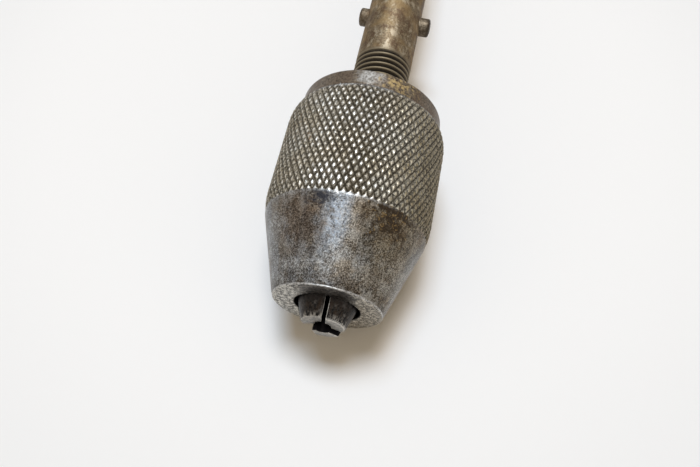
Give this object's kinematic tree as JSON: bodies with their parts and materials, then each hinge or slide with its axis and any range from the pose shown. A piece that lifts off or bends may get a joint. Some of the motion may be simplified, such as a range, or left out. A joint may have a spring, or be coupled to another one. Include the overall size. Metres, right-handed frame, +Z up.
{
  "type": "archimedean drill",
  "caption": "Hand drill turned by a grip sliding on a spiral rod, with a palm head at one end and a knurled jaw chuck at the other.",
  "frame": {"origin": "on the table that the drill lies on, under the middle of its bounding box", "axes": "+Z up from the table, +Y along the drill towards its head, +X to the right seen from the nose"},
  "size_m": [0.0418, 0.3332, 0.0418],
  "materials": {
    "worn_steel": "worn",
    "brown_steel": "worn",
    "bright_steel": "satin",
    "bronze": "satin",
    "brass": "satin",
    "rosewood": "polished",
    "leather": "matte"
  },
  "bodies": {
    "head": {"head_knob": "rosewood", "head_ferrule": "brass", "head_bush": "bronze", "bearing_race": "bright_steel", "head_screws": "bright_steel", "head_cap": "brass"},
    "slider": {"slider_grip": "rosewood", "slider_tube": "worn_steel", "slider_nut": "bronze", "nut_pins": "bright_steel", "guide_bush": "bronze", "lower_ferrule": "brass", "upper_ferrule": "brass", "ferrule_pins": "brass"},
    "spindle": {"chuck_spindle": "brown_steel", "cross_pin": "worn_steel", "spiral_rod": "worn_steel", "thrust_collar": "worn_steel", "collar_pin": "bright_steel", "bearing_balls": "bright_steel", "top_buffer": "leather", "end_washer": "bright_steel", "end_nut": "bright_steel", "thrust_ball": "bright_steel"},
    "carrier": {"jaw_carrier": "worn_steel", "jaw_springs": "bright_steel"},
    "shell": {"chuck_sleeve": "worn_steel", "chuck_back_collar": "brown_steel"},
    "first_jaw": {"jaw_1": "bright_steel"},
    "second_jaw": {"jaw_2": "bright_steel"},
    "third_jaw": {"jaw_3": "bright_steel"}
  },
  "joints": [
    {"name": "slider_slide", "type": "slide", "parent": "head", "child": "slider", "axis": [0, 0.9996, 0.0279], "range_m": [-0.038, 0.075]},
    {"name": "spindle_spin", "type": "hinge", "parent": "head", "child": "spindle", "pos_m": [0, -0.1633, 0.01227], "axis": [0, 0.9996, 0.0279], "range_deg": [-280, 545]},
    {"name": "chuck_turn", "type": "hinge", "parent": "spindle", "child": "carrier", "pos_m": [0, -0.1633, 0.01227], "axis": [0, 0.9996, 0.0279], "range_deg": [-1375, 245]},
    {"name": "shell_travel", "type": "slide", "parent": "carrier", "child": "shell", "axis": [0, 0.9996, 0.0279], "range_m": [-0.00404, 0.00072]},
    {"name": "jaw_1_slide", "type": "slide", "parent": "carrier", "child": "first_jaw", "axis": [-0.829, -0.0156, 0.559], "range_m": [-0.00026, 0.00141]},
    {"name": "jaw_2_slide", "type": "slide", "parent": "carrier", "child": "second_jaw", "axis": [0.8988, -0.0122, 0.4382], "range_m": [-0.00026, 0.00141]},
    {"name": "jaw_3_slide", "type": "slide", "parent": "carrier", "child": "third_jaw", "axis": [-0.0698, 0.0279, -0.9972], "range_m": [-0.00026, 0.00141]}
  ],
  "couplings": [
    {"joint": "spindle_spin", "follows": "slider_slide", "rad_per_m": 125.66},
    {"joint": "chuck_turn", "follows": "shell_travel", "rad_per_m": 5937.1},
    {"joint": "jaw_1_slide", "follows": "shell_travel", "ratio": -0.34628},
    {"joint": "jaw_2_slide", "follows": "shell_travel", "ratio": -0.34628},
    {"joint": "jaw_3_slide", "follows": "shell_travel", "ratio": -0.34628}
  ]
}
